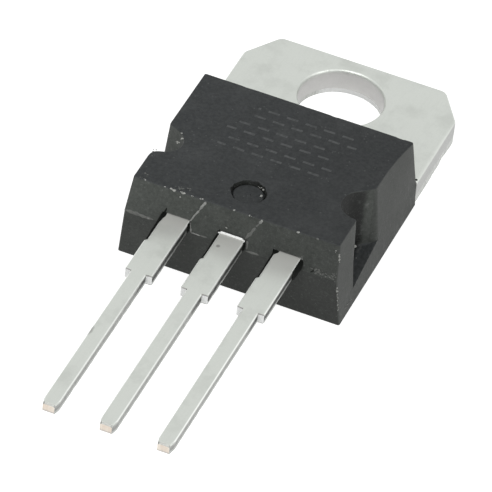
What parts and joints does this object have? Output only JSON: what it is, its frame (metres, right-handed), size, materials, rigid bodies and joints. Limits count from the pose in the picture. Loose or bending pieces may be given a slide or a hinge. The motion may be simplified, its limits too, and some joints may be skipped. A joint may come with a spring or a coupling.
{
  "type": "voltage regulator",
  "caption": "Linear voltage regulator in a flat power package: black moulded case, thick metal mounting tab with a round hole, and straight flat tinned leads.",
  "frame": {"origin": "centre of the mounting hole at the metal back face of the tab", "axes": "+Z along the mounting hole, out of the marked face; +Y towards the free end of the tab, with the leads pointing to -Y; +X across the width, with the input lead at -X"},
  "size_m": [0.0102, 0.029, 0.0044],
  "materials": {
    "moulding": "matte black moulded epoxy",
    "tinned_metal": "matte tin plating over copper",
    "silicon": "polished silicon",
    "solder": "dull solder",
    "bond_wire": "drawn aluminium"
  },
  "bodies": {
    "root": {"moulded_case": "moulding", "tab_and_ground_lead": "tinned_metal", "input_lead": "tinned_metal", "output_lead": "tinned_metal", "regulator_chip": "silicon", "die_solder": "solder", "input_wire": "bond_wire", "output_wire": "bond_wire", "sense_wire": "bond_wire", "ground_wire": "bond_wire"}
  },
  "joints": []
}
